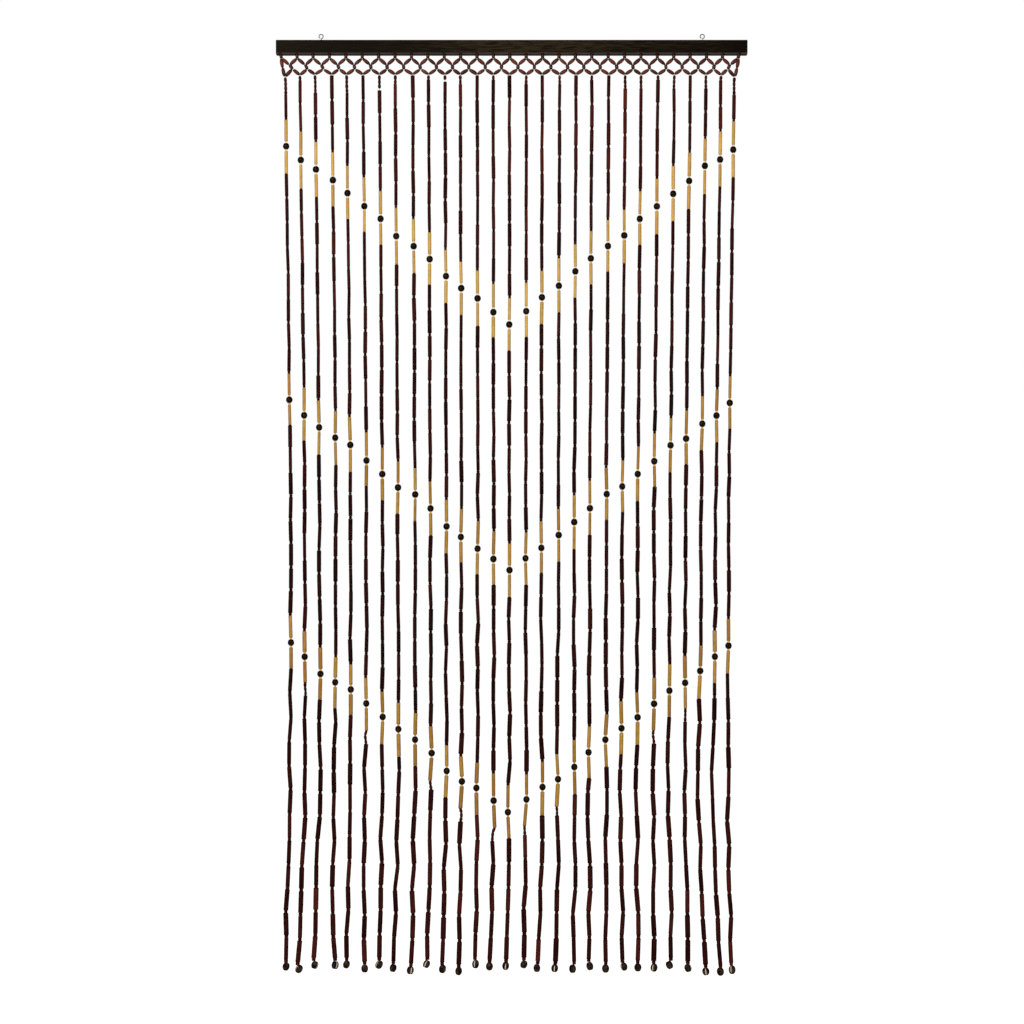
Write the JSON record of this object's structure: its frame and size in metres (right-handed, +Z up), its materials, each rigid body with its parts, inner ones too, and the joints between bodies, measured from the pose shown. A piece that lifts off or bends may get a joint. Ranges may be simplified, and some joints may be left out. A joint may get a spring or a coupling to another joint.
{
  "type": "bead door curtain with wooden rail",
  "caption": "Doorway curtain of bamboo tube strands with chevron bands of black beads, hung from a beaded heading net under a dark wooden rail with screw eyes.",
  "frame": {"origin": "centre of the rail's back face", "axes": "+Z up, +X to the right as seen from the room, +Y to the wall or lintel behind the rail"},
  "size_m": [0.903, 0.0264, 1.8054],
  "materials": {
    "rail_wood": "near-black stained wood with a faint grain, satin",
    "bamboo": "bamboo tubes stained dark red-brown, with bands of natural bamboo and black beads",
    "eye_metal": "dull nickel-plated wire"
  },
  "bodies": {
    "root": {"rail": "rail_wood", "bead_curtain": "bamboo", "screw_eye_left": "eye_metal", "screw_eye_right": "eye_metal"}
  },
  "joints": []
}
